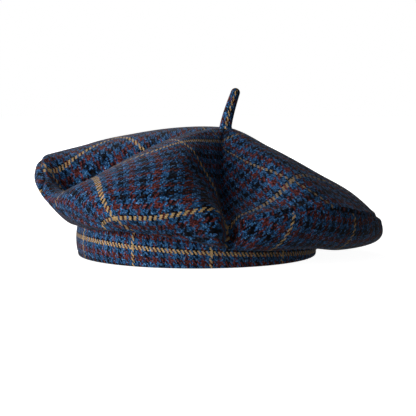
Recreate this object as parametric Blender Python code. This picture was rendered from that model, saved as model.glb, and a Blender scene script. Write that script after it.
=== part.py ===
# A checked-wool beret (tam) as it lies by itself: a round top disc sewn at the rim to a side ring,
# the side ring sewn to a straight headband, and a short rolled stalk through the middle of the disc.
# Metres, +Z up. The headband stands on z = 0, the front of the hat looks along -Y, and the origin is
# under the middle of the hat's box. Azimuths are degrees round the headband, 0 in front, +90 at +X.

import bisect
import math

import bmesh
import bpy
from mathutils import Vector

MM = 0.001

# ---- driving dimensions
HEAD_RADIUS = 0.0899          # inside of the headband, a 56 to 57 cm head
BAND_WALL = 0.0026            # two layers of cloth
BAND_HEIGHT = 0.030           # with the few millimetres that the crown hides
BAND_BULGE = 0.0005           # the band stands out a little at half height
BAND_EDGE = 0.0004            # rounding of the band's folded edges
CLOTH_WALL = 0.0018           # one layer of the wool cloth
GAP = 0.0003                  # between pieces that are sewn together
BAND_CENTRE = Vector((-0.0089, -0.0054, 0.0))
BAND_OUTER = HEAD_RADIUS + BAND_WALL

DISC_CENTRE = Vector((0.0223, 0.004, 0.0))     # middle of the top disc, from the band's own axis
DISC_HEIGHT = 0.0975
HOLE_RADIUS = 0.0055          # the stalk passes through here

STALK_ROOT_DEPTH = 0.0042     # how far the stalk reaches under the top disc's face
STALK_ROOT_RADIUS = 0.0049
STALK_TIP_RADIUS = 0.0036
STALK_RISE = 0.0276           # from the disc's face to the centre of the round tip
STALK_LEAN = 0.0076           # how far the tip leans to +X
STALK_STRAIGHT = 0.25         # share of the stalk that stands straight before it leans
STALK_FLARE = 0.0003          # the stalk widens where it meets the disc
STALK_FLARE_REACH = 0.15      # share of its length over which it widens
STALK_BEND = 1.25             # 1 leans in a straight line, more bends later

# ---- mesh fineness
AZIMUTH_STEPS = 96
TOP_STEPS = 15
SIDE_STEPS = 9
RIM_DENSITY = 0.45            # how much closer the rings lie at the rim seam than on average
SPAN_SAMPLES = 12
STALK_SIDES = 14
STALK_RINGS = 7
TIP_RINGS = 3
SHARP_ANGLE = math.radians(50.0)

# ---- the crown, one row for each section through a fold or a lobe.
# azimuth in degrees; the rest in millimetres: the cloth's height above the floor at 30, 60 and 82
# hundredths of the way out and at the rim's shoulder, the widest place (radius, height), the height
# of the rim seam, and the lowest place of the side ring (radius, height). The last value says how
# full the cloth hangs between those two places, where 1 is roundest.
SECTION_COLUMNS = ("azimuth", "high30", "high60", "high82", "shoulder", "wide_radius", "wide_height",
                   "seam_height", "low_radius", "low_height", "fullness")
CROWN_SECTIONS = (
    (-168, 97.5, 92, 84.5, 74.5, 132, 62.5, 70.5, 112, 25, 1),
    (-140, 97.5, 92.5, 85.5, 75, 131, 63.5, 72.5, 109, 25, 1),
    (-115, 95, 88.5, 82.5, 74.5, 128, 63, 71.5, 104, 25, 0.8),
    (-97, 90, 78, 73, 74, 127, 65, 72.5, 99, 25, 0.5),
    (-81, 84, 57, 47.5, 60, 125, 57, 61, 98, 25, 0.4),            # left valley
    (-66, 89, 65, 53, 50, 120, 46, 43, 98, 25.5, 0.4),
    (-48, 93, 79.5, 66.5, 55.5, 121, 45.5, 34, 101, 25.5, 0.7),   # front left lobe, it flops over the seam
    (-25, 94, 83.5, 70, 52, 124, 42, 28.5, 106, 27, 1),
    (-9, 90, 80, 67, 50, 123, 40, 25.5, 105, 23.5, 1),
    (1, 86, 66, 57.5, 47.5, 121.5, 38, 24, 104, 20, 1),
    (8, 82.5, 56, 46, 41, 120, 31, 23.5, 105, 17, 1),
    (13, 81, 50.5, 38, 30, 103.5, 22, 20.5, 101.5, 15, 1),        # front valley
    (18, 79.5, 48.5, 40, 37, 114, 30, 34, 104, 14, 1),
    (31, 82, 57, 47.5, 42.5, 124, 34, 41, 107, 13, 1),
    (45, 87, 73, 58, 45, 132.5, 34, 43, 111, 13, 1),              # right lobe, broad and low
    (64, 85, 67.5, 50, 37.5, 140, 26, 36, 116, 8.5, 1),
    (90, 81.3, 61.8, 46, 28.6, 144.5, 18.5, 29.4, 118, 6.5, 1.1),
    (122, 84, 66.5, 49, 34, 139, 24.5, 32, 115, 9.5, 1),
    (155, 94, 81, 68, 59.5, 134, 47.5, 55.5, 112, 19.5, 1),
)
INNER_SHARES = (0.30, 0.60, 0.82, 0.97)     # where the four height columns lie on the way out
SHOULDER_KNOT = 4                           # the last of those four, counted from the disc's middle
BAND_APPROACH = Vector((-0.15, 0.98))       # the side ring rises against the band where it is sewn
ROUNDNESS = 0.5                             # 0 keeps folds flat between sections, 1 rounds them most

# the folds swirl a little round the stalk at the front
SWIRL_ANGLE = -12.0
SWIRL_AZIMUTH = 10.0
SWIRL_REACH = 75.0
SWIRL_POWER = 1.1

# round the right lobe the cloth turns sharply at the rim seam, which runs along the shoulder there
FOLD_AZIMUTH = 62.0
FOLD_SPREAD = 50.0
FOLD_REACH = 0.006

NORMAL_AZIMUTH = 0.5                        # degrees and metres over which the wall's normal is taken
NORMAL_LENGTH = 0.0005

MATERIALS = {
    "crown_top": ((0.030, 0.043, 0.085, 1.0), 0.92),
    "crown_side": ((0.024, 0.034, 0.066, 1.0), 0.92),
    "headband": ((0.032, 0.045, 0.088, 1.0), 0.90),
    "stalk": ((0.036, 0.044, 0.078, 1.0), 0.90),
}


def clear_scene():
    for item in list(bpy.data.objects):
        bpy.data.objects.remove(item, do_unlink=True)


def cloth_material(name):
    color, roughness = MATERIALS[name]
    material = bpy.data.materials.new(name + "_cloth")
    material.use_nodes = True
    shader = material.node_tree.nodes["Principled BSDF"]
    shader.inputs["Base Color"].default_value = color
    shader.inputs["Roughness"].default_value = roughness
    shader.inputs["Metallic"].default_value = 0.0
    return material


def add_object(name, points, faces):
    mesh = bpy.data.meshes.new(name)
    mesh.from_pydata([point + BAND_CENTRE for point in points], [], faces)
    shape = bmesh.new()
    shape.from_mesh(mesh)
    bmesh.ops.recalc_face_normals(shape, faces=shape.faces)
    shape.to_mesh(mesh)
    shape.free()
    mesh.shade_smooth()
    mesh.set_sharp_from_angle(angle=SHARP_ANGLE)
    mesh.materials.append(cloth_material(name))
    item = bpy.data.objects.new(name, mesh)
    bpy.context.scene.collection.objects.link(item)
    return item


def ring_faces(rings, sides, closed):
    """Triangles between neighbouring rings of a skin, and between the last and the first if closed."""
    faces = []
    count = rings if closed else rings - 1
    for ring in range(count):
        here = ring * sides
        there = ((ring + 1) % rings) * sides
        for side in range(sides):
            after = (side + 1) % sides
            faces.append((here + side, here + after, there + after))
            faces.append((here + side, there + after, there + side))
    return faces


# ---- sections between the table's rows

def rows_round_the_circle():
    """The table's rows with one turn added before and one after, as (azimuth, values)."""
    rows = []
    for turn in (-360.0, 0.0, 360.0):
        rows.extend((row[0] + turn, row[1:]) for row in CROWN_SECTIONS)
    return rows


SECTION_ROWS = rows_round_the_circle()
SECTION_AZIMUTHS = [row[0] for row in SECTION_ROWS]


def slope_at_row(index, column):
    """Slope of one column at a row: part monotone, so valleys stay flat, and part rounded."""
    (before, at, after) = (SECTION_ROWS[index + step] for step in (-1, 0, 1))
    step_in = at[0] - before[0]
    step_out = after[0] - at[0]
    rise_in = (at[1][column] - before[1][column]) / step_in
    rise_out = (after[1][column] - at[1][column]) / step_out
    monotone = 0.0
    if rise_in * rise_out > 0.0:
        weight_in = 2.0 * step_out + step_in
        weight_out = step_out + 2.0 * step_in
        monotone = (weight_in + weight_out) / (weight_in / rise_in + weight_out / rise_out)
    rounded = (after[1][column] - before[1][column]) / (step_in + step_out)
    return ROUNDNESS * rounded + (1.0 - ROUNDNESS) * monotone


def hermite(start, end, slope_start, slope_end, share):
    """Cubic from start to end; the slopes are per whole span."""
    square = share * share
    cube = square * share
    return (start * (2.0 * cube - 3.0 * square + 1.0) + slope_start * (cube - 2.0 * square + share)
            + end * (3.0 * square - 2.0 * cube) + slope_end * (cube - square))


def section_at(azimuth):
    """The table's columns at any azimuth, as a dictionary by column name."""
    turned = (azimuth + 180.0) % 360.0 - 180.0
    index = bisect.bisect_right(SECTION_AZIMUTHS, turned) - 1
    start, end = SECTION_ROWS[index], SECTION_ROWS[index + 1]
    span = end[0] - start[0]
    share = (turned - start[0]) / span
    section = {}
    for column, name in enumerate(SECTION_COLUMNS[1:]):
        slope_start = slope_at_row(index, column) * span
        slope_end = slope_at_row(index + 1, column) * span
        section[name] = hermite(start[1][column], end[1][column], slope_start, slope_end, share)
        if name != "fullness":
            section[name] *= MM
    return section


def meridian_knots(section):
    """Knots (radius, height) from the disc's middle over the rim and under to the band."""
    wide = section["wide_radius"]
    heights = [section[name] for name in ("high30", "high60", "high82", "shoulder")]
    knots = [Vector((0.0, DISC_HEIGHT))]
    knots += [Vector((share * wide, height)) for share, height in zip(INNER_SHARES, heights)]
    knots.append(Vector((wide, section["wide_height"])))
    knots.append(Vector((section["low_radius"], section["low_height"])))
    knots.append(Vector((BAND_OUTER + GAP, BAND_HEIGHT)))
    return knots


def fold_share(azimuth, section):
    """How sharply the cloth turns at the shoulder: 0 is rounded, 1 keeps the top straight up to it."""
    aside = ((azimuth - FOLD_AZIMUTH + 180.0) % 360.0 - 180.0) / FOLD_SPREAD
    apart = (section["seam_height"] - section["shoulder"]) / FOLD_REACH
    return math.exp(-apart ** 2 - aside ** 2)


def knot_directions(knots, folded):
    """Unit-like directions at the knots: level at the middle and lowest place, upright where widest."""
    directions = [Vector((1.0, 0.0))]
    for index in range(1, len(knots) - 1):
        into = knots[index] - knots[index - 1]
        out = knots[index + 1] - knots[index]
        long_in, long_out = into.length, out.length
        mixed = into * (long_out / long_in) + out * (long_in / long_out)
        directions.append(mixed / (long_in + long_out))
        if index == SHOULDER_KNOT:
            directions[-1] = directions[-1].lerp(into / long_in, folded)
    directions[-2] = Vector((0.0, -1.0))
    directions[-1] = Vector((-1.0, 0.0))
    directions.append(BAND_APPROACH)
    return directions


def swirl_at(azimuth, inward):
    """Degrees by which a fold is turned round the stalk; inward is 0 at the rim and 1 at the middle."""
    offset = (azimuth - SWIRL_AZIMUTH + 180.0) % 360.0 - 180.0
    window = max(0.0, 1.0 - (offset / SWIRL_REACH) ** 2) ** 2
    return SWIRL_ANGLE * window * inward ** SWIRL_POWER


def crown_line(azimuth):
    """Points of one meridian in space, from the disc's middle to the band, and the seam's place."""
    section = section_at(azimuth)
    knots = meridian_knots(section)
    directions = knot_directions(knots, fold_share(azimuth, section))
    wide_knot = len(knots) - 3
    points = []
    seam = None
    for index in range(len(knots) - 1):
        start, end = knots[index], knots[index + 1]
        long = (end - start).length
        if index == wide_knot:
            long *= section["fullness"]
        for step in range(SPAN_SAMPLES):
            flat = hermite(start, end, directions[index] * long, directions[index + 1] * long,
                           step / SPAN_SAMPLES)
            inward = 0.0
            if index < wide_knot:
                inward = max(0.0, 1.0 - flat.x / section["wide_radius"])
            turned = math.radians(azimuth + swirl_at(azimuth, inward))
            out = Vector((math.sin(turned), -math.cos(turned), 0.0))
            points.append(DISC_CENTRE * inward + out * flat.x + Vector((0.0, 0.0, flat.y)))
            if seam is None and index >= wide_knot - 1 and flat.y < section["seam_height"]:
                seam = len(points) - 1
    turned = math.radians(azimuth)
    points.append(Vector((math.sin(turned), -math.cos(turned), 0.0)) * knots[-1].x
                  + Vector((0.0, 0.0, knots[-1].y)))
    return points, seam, section["seam_height"]


def line_lengths(points):
    lengths = [0.0]
    for before, after in zip(points, points[1:]):
        lengths.append(lengths[-1] + (after - before).length)
    return lengths


def seam_length(line):
    """Length along a meridian to the rim seam, read between the two samples about its height."""
    points, seam, height = line
    lengths = line_lengths(points)
    above, below = points[seam - 1], points[seam]
    share = (above.z - height) / (above.z - below.z)
    return lengths[seam - 1] + share * (lengths[seam] - lengths[seam - 1])


def point_along(points, lengths, distance):
    index = min(max(bisect.bisect_right(lengths, distance) - 1, 0), len(points) - 2)
    share = (distance - lengths[index]) / (lengths[index + 1] - lengths[index])
    return points[index].lerp(points[index + 1], share)


def crown_rings(steps, stretch, closer_to_seam):
    """Outer and inner wall points of a crown piece, ring by ring.

    stretch gives the first and last length along a meridian from its seam and whole lengths, and
    closer_to_seam moves the even shares of that stretch towards the seam.
    Both pieces take the wall's normal at the seam itself, so their edges stay side by side.
    """
    outer = [[] for _ in range(steps + 1)]
    inner = [[] for _ in range(steps + 1)]
    for side in range(AZIMUTH_STEPS):
        azimuth = 360.0 * side / AZIMUTH_STEPS
        lines = []
        for turn in (-NORMAL_AZIMUTH, 0.0, NORMAL_AZIMUTH):
            line = crown_line(azimuth + turn)
            lengths = line_lengths(line[0])
            seam = seam_length(line)
            lines.append((line[0], lengths, seam, stretch(seam, lengths[-1])))
        for step in range(steps + 1):
            at, normal = wall_point(lines, closer_to_seam(step / steps))
            outer[step].append(at)
            inner[step].append(at - normal * CLOTH_WALL)
    return outer, inner


def wall_point(lines, share):
    """Point and outward normal at a share of the middle one of three neighbouring meridians."""
    places = []
    for points, lengths, seam, (first, last) in lines:
        distance = first + (last - first) * share
        look = seam if abs(distance - seam) < GAP else distance
        places.append((points, lengths, distance, look))
    across = (point_along(places[2][0], places[2][1], places[2][3])
              - point_along(places[0][0], places[0][1], places[0][3]))
    points, lengths, distance, look = places[1]
    along = (point_along(points, lengths, look + NORMAL_LENGTH)
             - point_along(points, lengths, look - NORMAL_LENGTH))
    return point_along(points, lengths, distance), along.cross(across).normalized()


def walled_ring(name, front, back):
    """A closed wall: the rings of one face, then those of the other turned back on themselves."""
    rings = front + back[::-1]
    points = [point for ring in rings for point in ring]
    return add_object(name, points, ring_faces(len(rings), AZIMUTH_STEPS, closed=True))


def make_crown_top():
    outer, inner = crown_rings(TOP_STEPS, lambda seam, whole: (HOLE_RADIUS, seam - GAP / 2.0),
                               lambda share: share * (1.0 + RIM_DENSITY * (1.0 - share)))
    return walled_ring("crown_top", outer, inner)


def make_crown_side():
    """Its inner face comes first, so that its seam edge is cut into the same triangles as the top's."""
    outer, inner = crown_rings(SIDE_STEPS, lambda seam, whole: (seam + GAP / 2.0, whole),
                               lambda share: share)
    return walled_ring("crown_side", inner, outer)


def make_headband():
    """A straight strip on edge, bent round into a ring, with a faint bulge and rounded edges."""
    inside, outside = HEAD_RADIUS, BAND_OUTER
    profile = (
        (inside, BAND_EDGE),
        (inside, BAND_HEIGHT),
        (outside - BAND_EDGE - BAND_BULGE, BAND_HEIGHT),
        (outside - BAND_BULGE, BAND_HEIGHT - BAND_EDGE),
        (outside, BAND_HEIGHT * 0.5),
        (outside - BAND_BULGE, BAND_EDGE),
        (outside - BAND_EDGE - BAND_BULGE, 0.0),
        (inside + BAND_EDGE, 0.0),
    )
    points = []
    for radius, height in profile:
        for side in range(AZIMUTH_STEPS):
            turned = 2.0 * math.pi * side / AZIMUTH_STEPS
            points.append(Vector((radius * math.sin(turned), -radius * math.cos(turned), height)))
    return add_object("headband", points, ring_faces(len(profile), AZIMUTH_STEPS, closed=True))


def stalk_ring(centre, slope, radius):
    """A ring of the stalk, square to its own direction in the XZ plane."""
    across = Vector((slope.z, 0.0, -slope.x))
    ring = []
    for side in range(STALK_SIDES):
        turned = 2.0 * math.pi * side / STALK_SIDES
        ring.append(centre + across * (radius * math.cos(turned))
                    + Vector((0.0, radius * math.sin(turned), 0.0)))
    return ring


def stalk_centre(share):
    """The stalk's middle line: straight up at first, then leaning to +X in an even curve."""
    rise = -STALK_ROOT_DEPTH + (STALK_RISE + STALK_ROOT_DEPTH) * share
    leaning = max(0.0, (share - STALK_STRAIGHT * 0.5) / (1.0 - STALK_STRAIGHT * 0.5))
    return DISC_CENTRE + Vector((STALK_LEAN * leaning ** STALK_BEND, 0.0, DISC_HEIGHT + rise))


def make_stalk():
    rings = []
    nearby = 0.5 / STALK_RINGS
    for step in range(STALK_RINGS):
        share = step / (STALK_RINGS - 1)
        slope = (stalk_centre(share + nearby) - stalk_centre(share - nearby)).normalized()
        flare = STALK_FLARE * max(0.0, 1.0 - abs(share - STALK_STRAIGHT * 0.5) / STALK_FLARE_REACH)
        radius = STALK_ROOT_RADIUS + (STALK_TIP_RADIUS - STALK_ROOT_RADIUS) * share + flare
        rings.append(stalk_ring(stalk_centre(share), slope, radius))
    centre = stalk_centre(1.0)
    for step in range(1, TIP_RINGS):
        angle = 0.5 * math.pi * step / TIP_RINGS
        lifted = centre + slope * (STALK_TIP_RADIUS * math.sin(angle))
        rings.append(stalk_ring(lifted, slope, STALK_TIP_RADIUS * math.cos(angle)))
    points = [point for ring in rings for point in ring]
    faces = ring_faces(len(rings), STALK_SIDES, closed=False)
    faces.append(tuple(range(STALK_SIDES)))
    last = (len(rings) - 1) * STALK_SIDES
    tip = len(points)
    points.append(centre + slope * STALK_TIP_RADIUS)
    faces += [(last + side, last + (side + 1) % STALK_SIDES, tip) for side in range(STALK_SIDES)]
    return add_object("stalk", points, faces)


def main():
    clear_scene()
    make_crown_top()
    make_crown_side()
    make_headband()
    make_stalk()


main()
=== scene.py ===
import math

import bpy
import numpy as np
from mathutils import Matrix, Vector


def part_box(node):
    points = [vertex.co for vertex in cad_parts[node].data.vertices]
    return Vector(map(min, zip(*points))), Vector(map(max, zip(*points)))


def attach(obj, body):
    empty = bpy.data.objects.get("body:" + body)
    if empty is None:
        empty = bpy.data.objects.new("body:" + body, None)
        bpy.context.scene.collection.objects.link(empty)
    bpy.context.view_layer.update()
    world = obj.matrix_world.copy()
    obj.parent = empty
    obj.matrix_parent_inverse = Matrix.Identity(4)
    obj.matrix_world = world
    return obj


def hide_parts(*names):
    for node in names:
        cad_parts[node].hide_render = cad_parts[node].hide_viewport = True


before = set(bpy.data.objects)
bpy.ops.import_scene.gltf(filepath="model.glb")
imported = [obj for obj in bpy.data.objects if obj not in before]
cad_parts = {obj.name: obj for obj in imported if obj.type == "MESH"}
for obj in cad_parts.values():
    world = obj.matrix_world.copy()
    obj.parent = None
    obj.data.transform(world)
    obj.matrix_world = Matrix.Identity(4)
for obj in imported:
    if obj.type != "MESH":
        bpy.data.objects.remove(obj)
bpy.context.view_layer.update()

# A checked wool beret lying by itself: top disc, side ring, headband and rolled stalk.
mm = 0.001
mergeWithin = 0.00001    # points of a sheet closer than this are sewn into one

# the camera stands here because the cloth's check is laid by what it sees
view = {
    "elevation": 5.2,                 # degrees above the floor
    "distance": 1.10,
    "focus": (0.0086, 0.0, 0.0354),   # the middle of the picture, from the band's axis
    "framePixels": 416,
    "focalPixels": 1410,
    "sensorWidth": 36,
}

# the hat's own sizes, read off the frame
bandLow, bandHigh = (np.array(corner, float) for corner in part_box("headband"))
bandCentre = Vector(((bandLow[0] + bandHigh[0]) / 2, (bandLow[1] + bandHigh[1]) / 2, 0.0))
bandOuter = (bandHigh[0] - bandLow[0]) / 2
bandTop = bandHigh[2]


def deselectAll():
    for item in list(bpy.context.selected_objects):
        item.select_set(False)
    bpy.context.view_layer.objects.active = None


def makeActive(piece):
    deselectAll()
    piece.select_set(True)
    bpy.context.view_layer.objects.active = piece


crown = {
    "discCentre": (0.0223, 0.004),    # middle of the top disc, from the band's axis
    "discHeight": 0.0975,
    "holeRadius": 0.0045,
    "wall": 0.0018,                   # one layer of cloth
    "seamGap": 0.0003,
    "seamTuck": 0.0004,               # the top's edge is sewn in under the side's
    "shoulderKnot": 4,                # counted along a profile from the disc's middle
    "wideKnot": 5,
    "foldAzimuth": 62.0,              # round the right lobe the cloth turns sharply at the rim seam
    "foldSpread": 50.0,
    "foldReach": 0.006,
    "bandApproach": (-0.15, 0.98),    # the way the side ring goes up where it is sewn to the band
    "roundness": 0.5,                 # 0 keeps folds flat between sections, 1 rounds them most
    "swirlAngle": -12.0,              # the front folds turn a little round the stalk
    "swirlAzimuth": 10.0,
    "swirlReach": 75.0,
    "swirlPower": 1.1,
    "topDepth": 0.0015,               # the rim seam pulls the cloth in
    "sideDepth": 0.0008,
    "seamWidth": 0.0012,
    "seamRoll": 0.0005,               # and the seam allowance pads it just beside
    "seamRollAt": 0.0038,
    "seamRollWidth": 0.0020,
    "around": 384,                    # fineness of the cloth's mesh
    "topAcross": 120,
    "sideAcross": 60,
    "finer": 0.6,                     # the mesh is finer towards the rim seam
    "samples": 40,
}

# one row a fold or lobe: azimuth in degrees (0 in front, +90 at +X), the rest in mm: heights at 30, 60,
# 82 and 97 hundredths of the way out, widest place (radius, height), seam height, lowest (radius, height),
# and how full the cloth hangs between those two
crownSections = [
    (-168, 97.5, 92, 84.5, 74.5, 132, 62.5, 70.5, 112, 25, 1),
    (-140, 97.5, 92.5, 85.5, 75, 131, 63.5, 72.5, 109, 25, 1),
    (-115, 95, 88.5, 82.5, 74.5, 128, 63, 71.5, 104, 25, 0.8),
    (-97, 90, 78, 73, 74, 127, 65, 72.5, 99, 25, 0.5),
    (-81, 84, 57, 47.5, 60, 125, 57, 61, 98, 25, 0.4),
    (-66, 89, 65, 53, 50, 120, 46, 43, 98, 25.5, 0.4),
    (-48, 93, 79.5, 66.5, 55.5, 121, 45.5, 34, 101, 25.5, 0.7),
    (-25, 94, 83.5, 70, 52, 124, 42, 28.5, 106, 27, 1),
    (-9, 90, 80, 67, 50, 123, 40, 25.5, 105, 23.5, 1),
    (1, 86, 66, 57.5, 47.5, 121.5, 38, 24, 104, 20, 1),
    (8, 82.5, 56, 46, 41, 120, 31, 23.5, 105, 17, 1),
    (13, 81, 50.5, 38, 30, 103.5, 22, 20.5, 101.5, 15, 1),
    (18, 79.5, 48.5, 40, 37, 114, 30, 34, 104, 14, 1),
    (31, 82, 57, 47.5, 42.5, 124, 34, 41, 107, 13, 1),
    (45, 87, 73, 58, 45, 132.5, 34, 43, 111, 13, 1),
    (64, 85, 67.5, 50, 37.5, 140, 26, 36, 116, 8.5, 1),
    (90, 81.3, 61.8, 46, 28.6, 144.5, 18.5, 29.4, 118, 6.5, 1.1),
    (122, 84, 66.5, 49, 34, 139, 24.5, 32, 115, 9.5, 1),
    (155, 94, 81, 68, 59.5, 134, 47.5, 55.5, 112, 19.5, 1),
]
heightShares = (0.30, 0.60, 0.82, 0.97)    # how far out the first four heights of a row lie


def curveBetween(start, end, slopeStart, slopeEnd, share):
    square = share ** 2
    cube = share ** 3
    return (start * (2 * cube - 3 * square + 1) + slopeStart * (cube - 2 * square + share)
            + end * (3 * square - 2 * cube) + slopeEnd * (cube - square))


# the section table's values at any azimuth, on smooth curves through its rows
def sectionsAt(azimuths):
    rows = np.array(crownSections, float)
    angles = np.concatenate([rows[:, 0] - 360, rows[:, 0], rows[:, 0] + 360])
    values = np.tile(rows[:, 1:], (3, 1)) * mm
    steps = np.diff(angles)[:, None]
    rises = np.diff(values, axis=0) / steps
    riseIn, riseOut = rises[:-1], rises[1:]
    stepIn, stepOut = steps[:-1], steps[1:]
    with np.errstate(divide="ignore", invalid="ignore"):
        weighted = (2 * stepOut + stepIn) / riseIn + (stepOut + 2 * stepIn) / riseOut
        monotone = 3 * (stepIn + stepOut) / weighted
    monotone = np.where(riseIn * riseOut > 0, monotone, 0)
    rounded = (values[2:] - values[:-2]) / (stepIn + stepOut)
    slopes = np.zeros_like(values)
    slopes[1:-1] = crown["roundness"] * rounded + (1 - crown["roundness"]) * monotone
    turned = (azimuths + 180) % 360 - 180
    index = np.searchsorted(angles, turned, side="right") - 1
    span = steps[index]
    share = (turned - angles[index])[:, None] / span
    before, after = values[index], values[index + 1]
    return curveBetween(before, after, slopes[index] * span, slopes[index + 1] * span, share).T


# the crown's cloth as profiles from the disc's middle over the rim and down to the band, one an azimuth
def crownProfiles(azimuths):
    high30, high60, high82, shoulder, wideR, wideZ, seamZ, lowR, lowZ, fullness = sectionsAt(azimuths)
    zero = np.zeros_like(wideR)
    radii = [zero] + [share * wideR for share in heightShares]
    radii += [wideR, lowR, zero + bandOuter + crown["seamGap"]]
    heights = [zero + crown["discHeight"], high30, high60, high82, shoulder, wideZ, lowZ, zero + bandTop]
    knots = np.stack([np.stack(radii, 1), np.stack(heights, 1)], 2)
    steps = np.diff(knots, axis=1)
    long = np.linalg.norm(steps, axis=2)[..., None]
    into, out = steps[:, :-1], steps[:, 1:]
    longIn, longOut = long[:, :-1], long[:, 1:]
    directions = np.zeros_like(knots)
    directions[:, 1:-1] = (into * longOut / longIn + out * longIn / longOut) / (longIn + longOut)
    aside = ((azimuths - crown["foldAzimuth"] + 180) % 360 - 180) / crown["foldSpread"]
    folded = np.exp(-((seamZ - shoulder) / crown["foldReach"]) ** 2 - aside ** 2)[:, None]
    turn = crown["shoulderKnot"]
    straight = into[:, turn - 1] / long[:, turn - 1]
    directions[:, turn] = (1 - folded) * directions[:, turn] + folded * straight
    directions[:, 0] = (1, 0)
    directions[:, -3] = (0, -1)
    directions[:, -2] = (-1, 0)
    directions[:, -1] = crown["bandApproach"]
    share = np.linspace(0, 1, crown["samples"], endpoint=False)[None, :, None]
    spans = []
    for knot in range(knots.shape[1] - 1):
        reach = long[:, knot][:, None]
        if knot == crown["wideKnot"]:
            reach = reach * fullness[:, None, None] / mm
        spans.append(curveBetween(knots[:, knot][:, None], knots[:, knot + 1][:, None],
                                  directions[:, knot][:, None] * reach,
                                  directions[:, knot + 1][:, None] * reach, share))
    spans.append(knots[:, -1][:, None])
    flat = np.concatenate(spans, 1)
    wideSample = crown["wideKnot"] * crown["samples"]
    inward = np.clip(1 - flat[..., 0] / wideR[:, None], 0, 1)
    inward[:, wideSample:] = 0
    offset = (azimuths - crown["swirlAzimuth"] + 180) % 360 - 180
    window = np.clip(1 - (offset / crown["swirlReach"]) ** 2, 0, 1) ** 2
    swirl = crown["swirlAngle"] * window[:, None] * inward ** crown["swirlPower"]
    turned = np.radians(azimuths[:, None] + swirl)
    across, along = crown["discCentre"]
    points = np.stack([across * inward + flat[..., 0] * np.sin(turned),
                       along * inward - flat[..., 0] * np.cos(turned), flat[..., 1]], -1)
    walked = np.cumsum(np.linalg.norm(np.diff(points, axis=1), axis=2), 1)
    lengths = np.concatenate([zero[:, None], walked], 1)
    return points, lengths, seamDistances(flat[..., 1], lengths, seamZ, wideSample)


# how far along each profile the rim seam lies, between the shoulder and the lowest place
def seamDistances(heights, lengths, seamZ, wideSample):
    seams = np.zeros_like(seamZ)
    first = wideSample - crown["samples"]
    for row in range(len(seamZ)):
        below = first + int(np.argmax(heights[row, first:wideSample + crown["samples"]] < seamZ[row]))
        above = below - 1
        part = (heights[row, above] - seamZ[row]) / (heights[row, above] - heights[row, below])
        seams[row] = lengths[row, above] + part * (lengths[row, below] - lengths[row, above])
    return seams


def walkAlong(points, lengths, distances):
    placed = np.zeros(distances.shape + (3,))
    for row in range(len(points)):
        for axis in range(3):
            placed[row, :, axis] = np.interp(distances[row], lengths[row], points[row, :, axis])
    return placed


def sheetNormals(points):
    alongStep = np.gradient(points, axis=1)
    acrossStep = np.gradient(np.concatenate([points[-2:-1], points, points[1:2]]), axis=0)[1:-1]
    normals = np.cross(alongStep, acrossStep)
    return normals / (np.linalg.norm(normals, axis=2, keepdims=True) + 1e-12)


# a grid laid over the points, with the flat cloth as its UV map, closed where it meets itself
def clothSheet(name, points, cloth, wall):
    rows, columns = points.shape[:2]
    deselectAll()
    bpy.ops.mesh.primitive_grid_add(x_subdivisions=columns - 1, y_subdivisions=rows - 1, size=1)
    piece = bpy.context.object
    piece.name = name
    piece.data.name = name
    mesh = piece.data
    flat = np.zeros(len(mesh.vertices) * 3)
    mesh.vertices.foreach_get("co", flat)
    flat = flat.reshape(-1, 3)
    column = np.rint((flat[:, 0] + 0.5) * (columns - 1)).astype(int)
    row = np.rint((flat[:, 1] + 0.5) * (rows - 1)).astype(int)
    mesh.vertices.foreach_set("co", (points[row, column] + np.array(bandCentre)).ravel())
    corner = np.zeros(len(mesh.loops), int)
    mesh.loops.foreach_get("vertex_index", corner)
    mesh.uv_layers[0].name = "cloth"
    mesh.uv_layers["cloth"].data.foreach_set("uv", cloth[row, column][corner].ravel())
    mesh.update()
    makeActive(piece)
    bpy.ops.object.mode_set(mode="EDIT")
    bpy.ops.mesh.select_all(action="SELECT")
    bpy.ops.mesh.remove_doubles(threshold=mergeWithin)
    bpy.ops.object.mode_set(mode="OBJECT")
    if wall:
        bpy.ops.object.modifier_add(type="SOLIDIFY")
        solid = piece.modifiers[-1]
        solid.thickness = wall
        solid.offset = -1
        bpy.ops.object.modifier_apply(modifier=solid.name)
    bpy.ops.object.shade_smooth()
    return piece


# the crown's shape, worked out once for the top and the side
azimuths = np.linspace(-180, 180, crown["around"] + 1)
crownPoints, crownLengths, crownSeams = crownProfiles(azimuths)
print("crown profiles ready, rim seam at", np.round(crownSeams.min(), 4), np.round(crownSeams.max(), 4))


def crownPart(first, last, shares, seamDepth):
    distances = first[:, None] + (last - first)[:, None] * shares[None, :]
    points = walkAlong(crownPoints, crownLengths, distances)
    toSeam = np.abs(distances - crownSeams[:, None])
    pull = crown["seamRoll"] * np.exp(-((toSeam - crown["seamRollAt"]) / crown["seamRollWidth"]) ** 2)
    pull -= seamDepth * np.exp(-toSeam / crown["seamWidth"])
    return points + sheetNormals(points) * pull[..., None], distances


# the flat disc whose edge is as long as the rim seam, and how far round it each profile lies
def rimTurns():
    seamPoints = walkAlong(crownPoints, crownLengths, crownSeams[:, None])[:, 0]
    steps = np.linalg.norm(np.diff(seamPoints, axis=0), axis=1)
    run = np.concatenate([[0], np.cumsum(steps)])
    flatRadius = run[-1] / (2 * math.pi)
    turns = run / flatRadius
    front = np.interp(0, azimuths, turns)
    return turns - front, flatRadius


rimAngle, discRadius = rimTurns()
print("flat disc radius", round(discRadius, 4))

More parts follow.
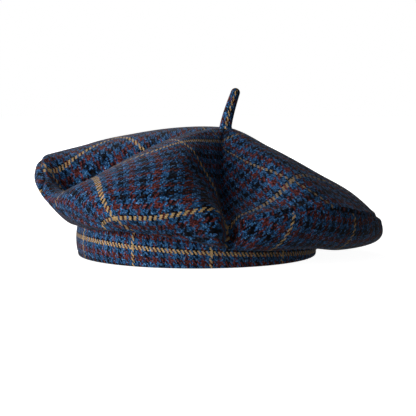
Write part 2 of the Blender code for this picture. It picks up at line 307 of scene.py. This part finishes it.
# how the crown's check lies: the cloth's turn in degrees, and the yellow lines of the picture, each with
# its number and points in pixels of the frame. The cloth shifts softly until its lines pass through them.
crownCheck = {
    "repeat": 0.0816,       # from one yellow line to the next
    "reach": 0.045,         # how far a point pulls the cloth along
    "ease": 0.02,           # 0 forces the lines through every point
    "dotReach": 2.5,        # pixels round a point in which the cloth is looked up
    "dotBlend": 0.2,        # higher takes in more of that cloth evenly
    "dotDepth": 0.006,      # cloth further behind the nearest than this isn't seen
    "top": {
        "turn": 38.0,
        "upright": {
            -1: [(99, 181), (99, 196), (105, 205), (111, 215), (115, 218), (124, 226)],
            -0.7: [(132, 175), (134, 192)],
            -0.6: [(145, 165), (146, 183), (147, 200)],
            -0.5: [(157, 172), (157, 189), (160, 205)],
            -0.4: [(170, 180), (170, 195)],
            -0.3: [(183, 187), (183, 202)],
            0: [(121, 138), (134, 140), (142, 142), (180, 141), (190, 147), (197, 153), (206, 176),
                (215, 192), (222, 205), (225, 215), (227, 230)],
            1: [(206, 128), (219, 139), (226, 146), (232, 153), (240, 160), (250, 165), (262, 167),
                (270, 169), (279, 173), (286, 178), (292, 183), (312, 195), (322, 200), (330, 204),
                (341, 211)],
        },
        "level": {
            -1: [(102, 219), (115, 218), (145, 216), (160, 214), (185, 211), (202, 209), (210, 205),
                 (247, 218), (256, 209), (262, 203), (266, 198), (272, 194), (278, 189),
                 (287, 184), (298, 183), (308, 181), (317, 178), (326, 178)],
            -0.9: [(160, 206), (183, 202)],
            -0.8: [(130, 201), (147, 200)],
            -0.7: [(134, 192), (157, 189), (183, 186)],
            -0.6: [(145, 183), (125, 184)],
            -0.5: [(132, 175), (157, 172)],
            -0.4: [(145, 163), (130, 166)],
            0: [(240, 135), (225, 138), (214, 141), (200, 141), (188, 141), (177, 142), (159, 149),
                (150, 152), (142, 157), (136, 160)],
            1: [(88, 148), (78, 155), (69, 167)],
        },
    },
    "side": {
        "turn": 60.0,
        "upright": {
            -0.95: [(120, 228)],
            -0.75: [(150, 228)],
            0: [(293, 216), (291, 226), (285, 238), (280, 244), (278, 247)],
            1: [(355, 217), (356, 232), (344, 243)],
        },
        "level": {
            -1: [(228, 239), (233, 245), (236, 248)],
            -1.15: [(250, 243)],
            -0.35: [(150, 228)],
            -0.17: [(120, 228)],
        },
    },
}


def inPicture(points):
    lift = math.radians(view["elevation"])
    away = points - np.array(view["focus"])
    up = away[..., 1] * math.sin(lift) + away[..., 2] * math.cos(lift)
    deep = view["distance"] + away[..., 1] * math.cos(lift) - away[..., 2] * math.sin(lift)
    half = view["framePixels"] / 2
    return half + view["focalPixels"] * away[..., 0] / deep, half - view["focalPixels"] * up / deep, deep


# shifts the cloth one way, so that its numbered lines pass through the points given for them
def shiftCloth(cloth, points, flat, axis, lines):
    column, row, deep = inPicture(points)
    places = []
    misses = []
    for number, dots in lines.items():
        for dotColumn, dotRow in dots:
            near = np.hypot(column - dotColumn, row - dotRow)
            close = near < crownCheck["dotReach"]
            if not close.any():
                continue
            close &= deep < deep[close].min() + crownCheck["dotDepth"]
            weights = 1 / (crownCheck["dotBlend"] + near[close] ** 2)
            places.append((flat[close] * weights[:, None]).sum(0) / weights.sum())
            liesAt = (cloth[close][:, axis] * weights).sum() / weights.sum()
            misses.append(number * crownCheck["repeat"] - liesAt)
    if not places:
        return
    places = np.array(places)
    misses = np.array(misses)
    known = pullsOf(places, places)
    soft = crownCheck["ease"] * np.eye(known.shape[1])
    soft[-1, -1] = 0
    strengths = np.linalg.solve(known.T @ known + soft, known.T @ misses)
    print("check lines meet the picture within", round(float(np.abs(known @ strengths - misses).max()), 4))
    cloth[..., axis] += pullsOf(places, flat) @ strengths


# how much each pinned place, and a shift of the whole sheet, moves the cloth at the given spots
def pullsOf(places, spots):
    apart = np.linalg.norm(spots[..., None, :] - places, axis=-1)
    return np.concatenate([np.exp(-(apart / crownCheck["reach"]) ** 2 / 2), np.ones_like(apart[..., :1])], -1)


def crownCloth(points, radius, lay):
    flat = np.stack([radius * np.sin(rimAngle)[:, None], -radius * np.cos(rimAngle)[:, None]], -1)
    turn = math.radians(lay["turn"])
    cloth = np.stack([flat[..., 0] * math.cos(turn) + flat[..., 1] * math.sin(turn),
                      -flat[..., 0] * math.sin(turn) + flat[..., 1] * math.cos(turn)], -1)
    shiftCloth(cloth, points, flat, 0, lay["upright"])
    shiftCloth(cloth, points, flat, 1, lay["level"])
    return cloth


def makeCrownTop():
    shares = np.linspace(0, 1, crown["topAcross"] + 1)
    shares = shares * (1 + crown["finer"] * (1 - shares))
    start = 0 * crownSeams + crown["holeRadius"]
    points, distances = crownPart(start, crownSeams + crown["seamTuck"], shares, crown["topDepth"])
    cloth = crownCloth(points, distances, crownCheck["top"])
    piece = clothSheet("crown_top_cloth", points, cloth, crown["wall"])
    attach(piece, "root")
    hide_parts("crown_top")
    return piece


def makeCrownSide():
    shares = np.linspace(0, 1, crown["sideAcross"] + 1)
    shares = shares * (1 - crown["finer"] * (1 - shares))
    points, distances = crownPart(crownSeams, crownLengths[:, -1], shares, crown["sideDepth"])
    run = distances - crownSeams[:, None]
    cloth = crownCloth(points, discRadius - run, crownCheck["side"])
    piece = clothSheet("crown_side_cloth", points, cloth, crown["wall"])
    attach(piece, "root")
    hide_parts("crown_side")
    return piece


band = {
    "wall": 0.0026,           # two layers of cloth
    "belly": 0.0016,          # the band swells out between its sewn edge and its fold
    "bulge": 0.0024,
    "bulgeAt": 0.85,          # 0 at the fold, 1 at half height, 2 at the top
    "fold": 0.0012,           # roundness of the folded lower edge
    "foldSteps": 12,
    "around": 360,
    "rings": 73,
    "insideEvery": 2,         # the inside has this many times fewer rings
    "hemDepth": 0.0005,       # a stitched line just above the fold
    "hemHeight": 0.0032,
    "hemWidth": 0.0007,
    "stripeAzimuth": 6.65,    # where a yellow line crosses the band upright
    "stripeHeight": 0.0172,   # the yellow line along the band, at its left
    "stripeFall": 0.063,      # and how it runs downhill to +X from there
    "fallStart": -0.085,
    "fallEase": 0.05,
}


def makeHeadband():
    height, wall, fold = bandTop, band["wall"], band["fold"]
    heights = np.linspace(height, fold, band["rings"])
    swell = bandOuter + band["belly"] - band["bulge"] * (2 * heights / height - band["bulgeAt"]) ** 2
    swell -= band["hemDepth"] * np.exp(-((heights - band["hemHeight"]) / band["hemWidth"]) ** 2)
    path = list(zip(swell, heights))
    for step in range(1, band["foldSteps"]):
        angle = math.pi * step / band["foldSteps"]
        path.append((swell[-1] - wall / 2 * (1 - math.cos(angle)), fold * (1 - math.sin(angle))))
    every = band["insideEvery"]
    path += list(zip(swell[::-every] - wall, heights[::-every]))
    path.append(path[0])
    path = np.array(path)
    turned = np.radians(np.linspace(-180, 180, band["around"] + 1))
    points = np.stack([np.sin(turned)[:, None] * path[None, :, 0],
                       -np.cos(turned)[:, None] * path[None, :, 0],
                       np.repeat(path[None, :, 1], len(turned), 0)], -1)
    run = np.concatenate([[0], np.cumsum(np.linalg.norm(np.diff(path, axis=0), axis=1))])
    up = height - run
    around = turned * bandOuter
    past = around - band["fallStart"]
    fallen = band["stripeFall"] * (np.sqrt(past ** 2 + band["fallEase"] ** 2) + past) / 2
    stripeAt = band["stripeHeight"] - fallen
    fromStripe = around - math.radians(band["stripeAzimuth"]) * bandOuter
    cloth = np.stack([np.repeat(fromStripe[:, None], len(path), 1), up[None, :] - stripeAt[:, None]], -1)
    piece = clothSheet("headband_cloth", points, cloth, 0)
    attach(piece, "root")
    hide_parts("headband")
    return piece


stalk = {
    "root": 0.003,            # how far it reaches down into the disc
    "rise": 0.0276,
    "lean": 0.0076,
    "bend": 1.25,
    "straight": 0.125,        # share of it that stands upright before it leans
    "slopeReach": 0.03,
    "rootRadius": 0.0049,
    "tipRadius": 0.0036,
    "flare": 0.0012,          # it widens where it comes out of the disc
    "flareReach": 0.2,
    "around": 48,
    "rings": 60,
    "tipRings": 10,
}


def stalkCentre(part):
    discX, discY = crown["discCentre"]
    leaning = max(0.0, (part - stalk["straight"]) / (1 - stalk["straight"]))
    rise = crown["discHeight"] - stalk["root"] + (stalk["rise"] + stalk["root"]) * part
    return Vector((discX + stalk["lean"] * leaning ** stalk["bend"], discY, rise))


def makeStalk():
    rings = []
    runs = []
    run = 0.0
    last = None
    for step in range(stalk["rings"] + stalk["tipRings"] + 1):
        share = min(1.0, step / stalk["rings"])
        reach = stalk["slopeReach"]
        slope = (stalkCentre(share + reach) - stalkCentre(share - reach)).normalized()
        radius = stalk["rootRadius"] + (stalk["tipRadius"] - stalk["rootRadius"]) * share
        radius += stalk["flare"] * max(0.0, 1 - share / stalk["flareReach"]) ** 2
        middle = stalkCentre(share)
        if step > stalk["rings"]:
            angle = 0.5 * math.pi * (step - stalk["rings"]) / stalk["tipRings"]
            middle = stalkCentre(1.0) + slope * stalk["tipRadius"] * math.sin(angle)
            radius = stalk["tipRadius"] * math.cos(angle)
        across = Vector((slope.z, 0, -slope.x))
        if last is not None:
            run += (middle - last).length
        last = middle
        ring = []
        for side in range(stalk["around"] + 1):
            angle = 2 * math.pi * side / stalk["around"] + math.pi / 2
            point = middle + across * (radius * math.cos(angle)) + Vector((0, radius * math.sin(angle), 0))
            ring.append(point)
        rings.append(ring)
        runs.append(run)
    points = np.array([[list(point) for point in ring] for ring in rings]).transpose(1, 0, 2)
    turn = np.linspace(-math.pi, math.pi, stalk["around"] + 1)
    cloth = np.stack([np.repeat((turn * stalk["rootRadius"])[:, None], len(runs), 1),
                      np.repeat(np.array(runs)[None, :], len(turn), 0)], -1)
    piece = clothSheet("stalk_cloth", points, cloth, 0)
    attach(piece, "root")
    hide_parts("stalk")
    return piece


# the cloth: a 2/2 twill check, four yarns to a stripe
weave = {
    "yarns": 4,                             # yarns in a stripe
    "stripes": 20,                          # stripes in the whole check
    "twillRepeat": 4.0,                     # yarns after which the twill begins again
    "twillOver": 2,                         # of which it passes over so many
    "wanderSize": 90.0,                     # the yarns wander a little out of line
    "wanderShare": 0.8,
    "blue": (0.018, 0.095, 0.250),
    "paleBlue": (0.110, 0.260, 0.460),      # flecks among the blue yarns
    "fleckShare": 7.0,
    "fleckFrom": 0.52,
    "fleckSize": 700.0,
    "fleckDetail": 3.0,
    "fleckRough": 0.7,
    "black": (0.001, 0.001, 0.003),
    "strayBlue": (0.030, 0.070, 0.130),     # blue fibres caught in the black yarns
    "strayShare": 0.25,
    "red": (0.125, 0.027, 0.024),
    "yellow": (0.76, 0.50, 0.22),
    "yellowSmooth": 0.75,                   # the yellow yarns are thick and even
    "yellowShade": 0.75,
    "nappedYellow": (0.24, 0.19, 0.14),     # the nap covers the thin lines on the crown's low side
    "napFrom": 0.026,                       # from this X, plus a share of the height, to that
    "napTo": 0.058,
    "napRise": 0.5,
    "napCovers": 1.1,                       # yarns of half a line that it hides
    "heatherCool": (0.07, 0.15, 0.27),      # stray fibres spun into every yarn
    "heatherWarm": (0.22, 0.12, 0.09),
    "heatherShare": 0.15,
    "heatherRare": 2.0,                     # higher leaves most yarns pure
    "gapShade": 0.3,                        # painted shade over each yarn's round, darkest between yarns, 1 is none
    "darkest": 0.12,                        # no unevenness goes below this
    "yarnUneven": 1.8,                      # how much one yarn's float differs from the next
    "fibreUneven": 4.5,
    "fibreSize": 900.0,
    "fibreDetail": 3.0,
    "fibreRough": 0.65,
    "patchUneven": 1.4,
    "patchSize": 300.0,
    "lightness": 1.37,
    "paintedSheen": (0.10, 0.09, 0.095),            # painted sheen: pale grey painted into the colour where the cloth turns away from view
    "paintedSheenShare": 0.7,
    "paintedSheenTurn": 4.0,
    "paintedSheenUneven": 6.0,
    "bumpDepth": 0.0004,
    "bumpStrength": 1.0,
    "bumpFibre": 0.8,
    "bumpFloat": 0.4,
    "roughness": 0.9,
    "specular": 0.04,
    "sheen": 0.015,
    "sheenRoughness": 0.35,
    "sheenTint": (0.75, 0.82, 1.0),
}

# each piece's cut of that cloth: yarn widths across and along, the twill's lean, how many yarns make a
# yellow line each way, and how much of the yellow the nap takes on the crown's low side
cuts = {
    "top": {"yarnWidths": (0.00102, 0.00102), "lean": -1.0, "yellowYarns": (4, 3), "napShare": 0.7},
    "side": {"yarnWidths": (0.00102, 0.00102), "lean": 1.0, "yellowYarns": (3, 3), "napShare": 0.0},
    "band": {"yarnWidths": (0.0007265, 0.00102), "lean": 1.0, "yellowYarns": (3, 3), "napShare": 0.0},
    "stalk": {"yarnWidths": (0.00074, 0.00102), "lean": 1.0, "yellowYarns": (3, 3), "napShare": 0.0},
}


# lays out shader nodes and joins them, so that a pattern reads as a short recipe
class NodeBench:
    rows = 12
    spacing = (40, 120)

    def __init__(self, material):
        self.tree = material.node_tree
        self.count = 0

    def add(self, kind, **settings):
        node = self.tree.nodes.new(kind)
        node.location = (self.count * self.spacing[0], -(self.count % self.rows) * self.spacing[1])
        self.count += 1
        for key, value in settings.items():
            setattr(node, key, value)
        return node

    def plug(self, socket, value):
        if hasattr(value, "is_output"):
            self.tree.links.new(value, socket)
        else:
            socket.default_value = value

    def math(self, operation, first, second=0.0, third=0.0):
        node = self.add("ShaderNodeMath", operation=operation)
        self.plug(node.inputs[0], first)
        self.plug(node.inputs[1], second)
        self.plug(node.inputs[2], third)
        return node.outputs[0]

    # a mix node keeps its colour sockets behind its number sockets
    def mixColor(self, factor, first, second):
        node = self.add("ShaderNodeMix", data_type="RGBA")
        self.plug(node.inputs[0], factor)
        self.plug(node.inputs[6], first)
        self.plug(node.inputs[7], second)
        return node.outputs[2]

    def mixNumber(self, factor, first, second):
        node = self.add("ShaderNodeMix", data_type="FLOAT")
        self.plug(node.inputs[0], factor)
        self.plug(node.inputs[2], first)
        self.plug(node.inputs[3], second)
        return node.outputs[0]

    def noise(self, vector, scale, detail=2.0, roughness=0.5):
        node = self.add("ShaderNodeTexNoise", noise_dimensions="3D")
        self.plug(node.inputs["Vector"], vector)
        node.inputs["Scale"].default_value = scale
        node.inputs["Detail"].default_value = detail
        node.inputs["Roughness"].default_value = roughness
        return node.outputs["Fac"]

    def split(self, vector):
        node = self.add("ShaderNodeSeparateXYZ")
        self.plug(node.inputs[0], vector)
        return node.outputs


def rgba(color):
    return (*color, 1.0)


# the number of the yarn under each spot, across and along, from the flat cloth
def countYarns(bench, solid, cut):
    flat = bench.split(bench.add("ShaderNodeUVMap", uv_map="cloth").outputs[0])
    wander = bench.math("SUBTRACT", bench.noise(solid, weave["wanderSize"]), 0.5)
    wander = bench.math("MULTIPLY", wander, weave["wanderShare"])
    counted = []
    for way, yarnWidth in enumerate(cut["yarnWidths"]):
        lineMiddle = weave["yarns"] + cut["yellowYarns"][way] / 2
        yarn = bench.math("ADD", bench.math("DIVIDE", flat[way], yarnWidth), lineMiddle)
        counted.append(bench.math("ADD", yarn, wander))
    return counted


# blue yarns have pale flecks, black ones some stray blue fibres
def blueAndBlack(bench, solid):
    flecks = bench.noise(solid, weave["fleckSize"], weave["fleckDetail"], weave["fleckRough"])
    fleck = bench.math("MULTIPLY", bench.math("SUBTRACT", flecks, weave["fleckFrom"]), weave["fleckShare"])
    fleck = bench.math("MINIMUM", bench.math("MAXIMUM", fleck, 0.0), 1.0)
    stray = bench.math("MULTIPLY", fleck, weave["strayShare"])
    blue = bench.mixColor(fleck, rgba(weave["blue"]), rgba(weave["paleBlue"]))
    black = bench.mixColor(stray, rgba(weave["black"]), rgba(weave["strayBlue"]))
    return blue, black


# the yellow, and how far a line reaches to each side, where the nap leaves it
def brushedYellow(bench, solid, cut):
    yellow = rgba(weave["yellow"])
    halfLine = cut["yellowYarns"][0] / 2
    if not cut["napShare"]:
        return yellow, halfLine
    spot = bench.split(solid)
    brushed = bench.add("ShaderNodeMapRange", interpolation_type="SMOOTHSTEP")
    bench.plug(brushed.inputs["Value"], bench.math("MULTIPLY_ADD", spot[2], weave["napRise"], spot[0]))
    brushed.inputs["From Min"].default_value = weave["napFrom"]
    brushed.inputs["From Max"].default_value = weave["napTo"]
    nap = brushed.outputs["Result"]
    dulled = bench.math("MULTIPLY", nap, cut["napShare"])
    yellow = bench.mixColor(dulled, yellow, rgba(weave["nappedYellow"]))
    return yellow, bench.math("MULTIPLY_ADD", nap, -weave["napCovers"], halfLine)


# every other stripe is blue, the rest are black and red in turn, and one in the repeat has the yellow line
def stripeColor(bench, yarn, yellowYarns, halfLine, dyes):
    blue, black, yellow = dyes
    stripe = bench.math("FLOOR", bench.math("DIVIDE", yarn, weave["yarns"]))
    stripe = bench.math("FLOORED_MODULO", stripe, weave["stripes"])
    darkOne = bench.math("FLOORED_MODULO", stripe, 2.0)
    redOne = bench.math("FLOOR", bench.math("MULTIPLY", stripe, 0.5))
    redOne = bench.math("FLOORED_MODULO", redOne, 2.0)
    inRepeat = bench.math("FLOORED_MODULO", yarn, weave["yarns"] * weave["stripes"])
    lineMiddle = weave["yarns"] + (yellowYarns - 1) / 2
    fromLine = bench.math("ABSOLUTE", bench.math("SUBTRACT", inRepeat, lineMiddle))
    yellowOne = bench.math("LESS_THAN", fromLine, halfLine)
    color = bench.mixColor(redOne, black, rgba(weave["red"]))
    color = bench.mixColor(darkOne, blue, color)
    return bench.mixColor(yellowOne, color, yellow), yellowOne


def unevenness(bench, noise, strength):
    swing = bench.math("MULTIPLY_ADD", bench.math("SUBTRACT", noise, 0.5), strength, 1.0)
    return bench.math("MAXIMUM", swing, weave["darkest"])


def wovenMaterial(name, cut):
    material = bpy.data.materials.new(name)
    material.use_nodes = True
    bench = NodeBench(material)
    shader = material.node_tree.nodes["Principled BSDF"]
    solid = bench.add("ShaderNodeTexCoord").outputs["Object"]
    across, along = countYarns(bench, solid, cut)
    warp = bench.math("FLOOR", across)
    weft = bench.math("FLOOR", along)
    diagonal = bench.math("MULTIPLY_ADD", weft, cut["lean"], warp)
    diagonal = bench.math("FLOORED_MODULO", diagonal, weave["twillRepeat"])
    over = bench.math("LESS_THAN", diagonal, weave["twillOver"] - 0.5)

    # a chance for each float of yarn: how light it is, and which fibres are spun into it
    cell = bench.add("ShaderNodeCombineXYZ")
    bench.plug(cell.inputs[0], warp)
    bench.plug(cell.inputs[1], weft)
    chance = bench.add("ShaderNodeTexWhiteNoise", noise_dimensions="2D")
    bench.plug(chance.inputs["Vector"], cell.outputs[0])
    luck = bench.add("ShaderNodeSeparateColor")
    bench.plug(luck.inputs[0], chance.outputs["Color"])
    lightLuck, warmLuck, heatherLuck = luck.outputs[0], luck.outputs[1], luck.outputs[2]

    blue, black = blueAndBlack(bench, solid)
    yellow, halfLine = brushedYellow(bench, solid, cut)
    dyes = (blue, black, yellow)
    warpYellows, weftYellows = cut["yellowYarns"]
    weftColor, weftYellow = stripeColor(bench, weft, weftYellows, weftYellows / 2, dyes)
    warpColor, warpYellow = stripeColor(bench, warp, warpYellows, halfLine, dyes)
    color = bench.mixColor(over, weftColor, warpColor)
    onYellow = bench.mixNumber(over, weftYellow, warpYellow)
    warmOne = bench.math("GREATER_THAN", warmLuck, 0.5)
    heather = bench.mixColor(warmOne, rgba(weave["heatherCool"]), rgba(weave["heatherWarm"]))
    mixed = bench.math("POWER", heatherLuck, weave["heatherRare"])
    mixed = bench.math("MULTIPLY", mixed, weave["heatherShare"])
    color = bench.mixColor(mixed, color, heather)

    # painted shade over the round of each yarn, darkest between yarns, then light and dark that differ at
    # random: uneven floats, fibres, and larger patches
    onYarn = bench.mixNumber(over, bench.math("FRACT", along), bench.math("FRACT", across))
    ridge = bench.math("SINE", bench.math("MULTIPLY", math.pi, onYarn))
    shade = bench.math("MULTIPLY_ADD", ridge, 1 - weave["gapShade"], weave["gapShade"])
    fibre = bench.noise(solid, weave["fibreSize"], weave["fibreDetail"], weave["fibreRough"])
    patch = bench.noise(solid, weave["patchSize"])
    for noise, strength in ((lightLuck, "yarnUneven"), (fibre, "fibreUneven"), (patch, "patchUneven")):
        shade = bench.math("MULTIPLY", shade, unevenness(bench, noise, weave[strength]))
    evened = bench.math("MULTIPLY", onYellow, weave["yellowSmooth"])
    shade = bench.mixNumber(evened, shade, weave["yellowShade"])
    shade = bench.math("MULTIPLY", shade, weave["lightness"])
    bright = bench.add("ShaderNodeVectorMath", operation="SCALE")
    bench.plug(bright.inputs[0], color)
    bench.plug(bright.inputs["Scale"], shade)

    # painted sheen: the colour turns pale grey where the cloth turns away from view, patchy with the fibres
    facing = bench.add("ShaderNodeLayerWeight").outputs["Facing"]
    paintedSheen = bench.math("MULTIPLY", bench.math("POWER", facing, weave["paintedSheenTurn"]), weave["paintedSheenShare"])
    paintedSheen = bench.math("MULTIPLY", paintedSheen, unevenness(bench, fibre, weave["paintedSheenUneven"]))
    bench.plug(shader.inputs["Base Color"], bench.mixColor(paintedSheen, bright.outputs[0], rgba(weave["paintedSheen"])))

    height = bench.math("MULTIPLY_ADD", chance.outputs["Value"], weave["bumpFloat"], ridge)
    height = bench.math("MULTIPLY_ADD", fibre, weave["bumpFibre"], height)
    bump = bench.add("ShaderNodeBump")
    bump.inputs["Strength"].default_value = weave["bumpStrength"]
    bump.inputs["Distance"].default_value = weave["bumpDepth"]
    bench.plug(bump.inputs["Height"], height)
    bench.plug(shader.inputs["Normal"], bump.outputs[0])
    shader.inputs["Roughness"].default_value = weave["roughness"]
    shader.inputs["Specular IOR Level"].default_value = weave["specular"]
    shader.inputs["Sheen Weight"].default_value = weave["sheen"]
    shader.inputs["Sheen Roughness"].default_value = weave["sheenRoughness"]
    shader.inputs["Sheen Tint"].default_value = rgba(weave["sheenTint"])
    return material


def dress(piece, material):
    piece.data.materials.clear()
    piece.data.materials.append(material)


dress(makeCrownTop(), wovenMaterial("wool_check_top", cuts["top"]))
print("crown top made")
dress(makeCrownSide(), wovenMaterial("wool_check_side", cuts["side"]))
print("crown side made")
dress(makeHeadband(), wovenMaterial("wool_check_band", cuts["band"]))
print("headband made")
dress(makeStalk(), wovenMaterial("wool_check_stalk", cuts["stalk"]))
print("stalk made")

ground = {
    "size": 8,
    "color": (0.5, 0.5, 0.5),
    "glow": 0.96,             # its own light keeps it pale
    "roughness": 0.9,
    "specular": 0.1,
}


def makeFloor():
    deselectAll()
    bpy.ops.mesh.primitive_plane_add(size=ground["size"], location=(0, 0, 0))
    floor = bpy.context.object
    floor.name = "floor"
    material = bpy.data.materials.new("pale_floor")
    material.use_nodes = True
    shader = material.node_tree.nodes["Principled BSDF"]
    shader.inputs["Base Color"].default_value = rgba(ground["color"])
    shader.inputs["Emission Color"].default_value = (1, 1, 1, 1)
    shader.inputs["Emission Strength"].default_value = ground["glow"]
    shader.inputs["Roughness"].default_value = ground["roughness"]
    shader.inputs["Specular IOR Level"].default_value = ground["specular"]
    floor.data.materials.append(material)
    floor.visible_diffuse = False    # it doesn't light the hat from below


light = {
    "aim": (0, 0, 0.06),
    "lamps": {                # place, size across in metres, watts
        "side": ((-1.72, -0.46, 0.31), 0.9, 16),
        "front": ((-1.25, -1.25, 0.36), 0.9, 15.5),
        "back": ((-0.45, 1.49, 0.96), 1.2, 25),
    },
    "room": 0.09,             # soft light from all around
    "backdrop": 1.0,          # the white behind the hat
}


def hangLamp(name, place, size, power):
    lamp = bpy.data.lights.new(name, "AREA")
    lamp.shape = "DISK"
    lamp.size = size
    lamp.energy = power
    holder = bpy.data.objects.new(name, lamp)
    holder.location = place
    holder.rotation_euler = (Vector(light["aim"]) - Vector(place)).to_track_quat("-Z", "Y").to_euler()
    bpy.context.scene.collection.objects.link(holder)


def makeLight():
    for name, (place, size, power) in light["lamps"].items():
        hangLamp(name, place, size, power)
    world = bpy.data.worlds.new("studio")
    bpy.context.scene.world = world
    world.use_nodes = True
    bench = NodeBench(world)
    seen = bench.add("ShaderNodeLightPath").outputs["Is Camera Ray"]
    backdrop = world.node_tree.nodes["Background"]
    backdrop.inputs["Color"].default_value = (1, 1, 1, 1)
    bench.plug(backdrop.inputs["Strength"], bench.mixNumber(seen, light["room"], light["backdrop"]))
    world.cycles_visibility.glossy = False


def makeCamera():
    lens = bpy.data.cameras.new("camera")
    holder = bpy.data.objects.new("camera", lens)
    bpy.context.scene.collection.objects.link(holder)
    lift = math.radians(view["elevation"])
    focus = Vector(view["focus"]) + bandCentre
    holder.location = focus + Vector((0, -math.cos(lift), math.sin(lift))) * view["distance"]
    holder.rotation_euler = (math.pi / 2 - lift, 0, 0)
    lens.sensor_width = view["sensorWidth"]
    lens.lens = view["sensorWidth"] * view["focalPixels"] / view["framePixels"]
    bpy.context.scene.camera = holder


makeFloor()
makeLight()
makeCamera()
bpy.context.scene.view_settings.view_transform = "Standard"
print("stage made")
